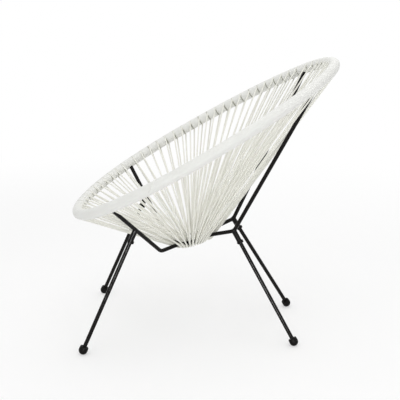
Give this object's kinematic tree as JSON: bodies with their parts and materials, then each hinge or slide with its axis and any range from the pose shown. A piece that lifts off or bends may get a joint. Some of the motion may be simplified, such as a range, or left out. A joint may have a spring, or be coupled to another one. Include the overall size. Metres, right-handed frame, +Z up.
{
  "type": "acapulco chair",
  "caption": "Round-backed lounge chair: white cord strung from a tilted egg-shaped hoop to a small ring, on bent black rods and four slanted plug-in legs with rubber feet.",
  "frame": {"origin": "on the floor, under the middle of the chair's outline", "axes": "+Z up; the seat opens towards -Y, the front; +X is the chair's own left side; the chair is the same on both sides of X = 0"},
  "size_m": [0.7114, 0.7946, 0.849],
  "materials": {
    "frame_black": "semi-gloss black powder coat",
    "hoop_steel": "bare tube, hidden inside the winding",
    "seat_cord": "soft-gloss white plastic cord",
    "bolt_black": "satin black",
    "foot_rubber": "matt black"
  },
  "bodies": {
    "root": {"rim_hoop": "hoop_steel", "seat_cord_front_1": "seat_cord", "seat_cord_front_2": "seat_cord", "seat_cord_front_3": "seat_cord", "seat_cord_front_4": "seat_cord", "seat_cord_front_5": "seat_cord", "seat_cord_front_6": "seat_cord", "seat_cord_left_1": "seat_cord", "seat_cord_left_2": "seat_cord", "seat_cord_left_3": "seat_cord", "seat_cord_left_4": "seat_cord", "seat_cord_left_5": "seat_cord", "seat_cord_left_6": "seat_cord", "seat_cord_back_1": "seat_cord", "seat_cord_back_2": "seat_cord", "seat_cord_back_3": "seat_cord", "seat_cord_back_4": "seat_cord", "seat_cord_right_1": "seat_cord", "seat_cord_right_2": "seat_cord", "seat_cord_right_3": "seat_cord", "seat_cord_right_4": "seat_cord", "seat_cord_right_5": "seat_cord", "seat_cord_right_6": "seat_cord", "seat_ring": "frame_black", "arm_front_left": "frame_black", "leg_socket_front_left": "frame_black", "leg_front_left": "frame_black", "leg_bolt_front_left": "bolt_black", "foot_front_left": "foot_rubber", "arm_front_right": "frame_black", "leg_socket_front_right": "frame_black", "leg_front_right": "frame_black", "leg_bolt_front_right": "bolt_black", "foot_front_right": "foot_rubber", "arm_rear_left": "frame_black", "leg_socket_rear_left": "frame_black", "leg_rear_left": "frame_black", "leg_bolt_rear_left": "bolt_black", "foot_rear_left": "foot_rubber", "arm_rear_right": "frame_black", "leg_socket_rear_right": "frame_black", "leg_rear_right": "frame_black", "leg_bolt_rear_right": "bolt_black", "foot_rear_right": "foot_rubber"}
  },
  "joints": []
}
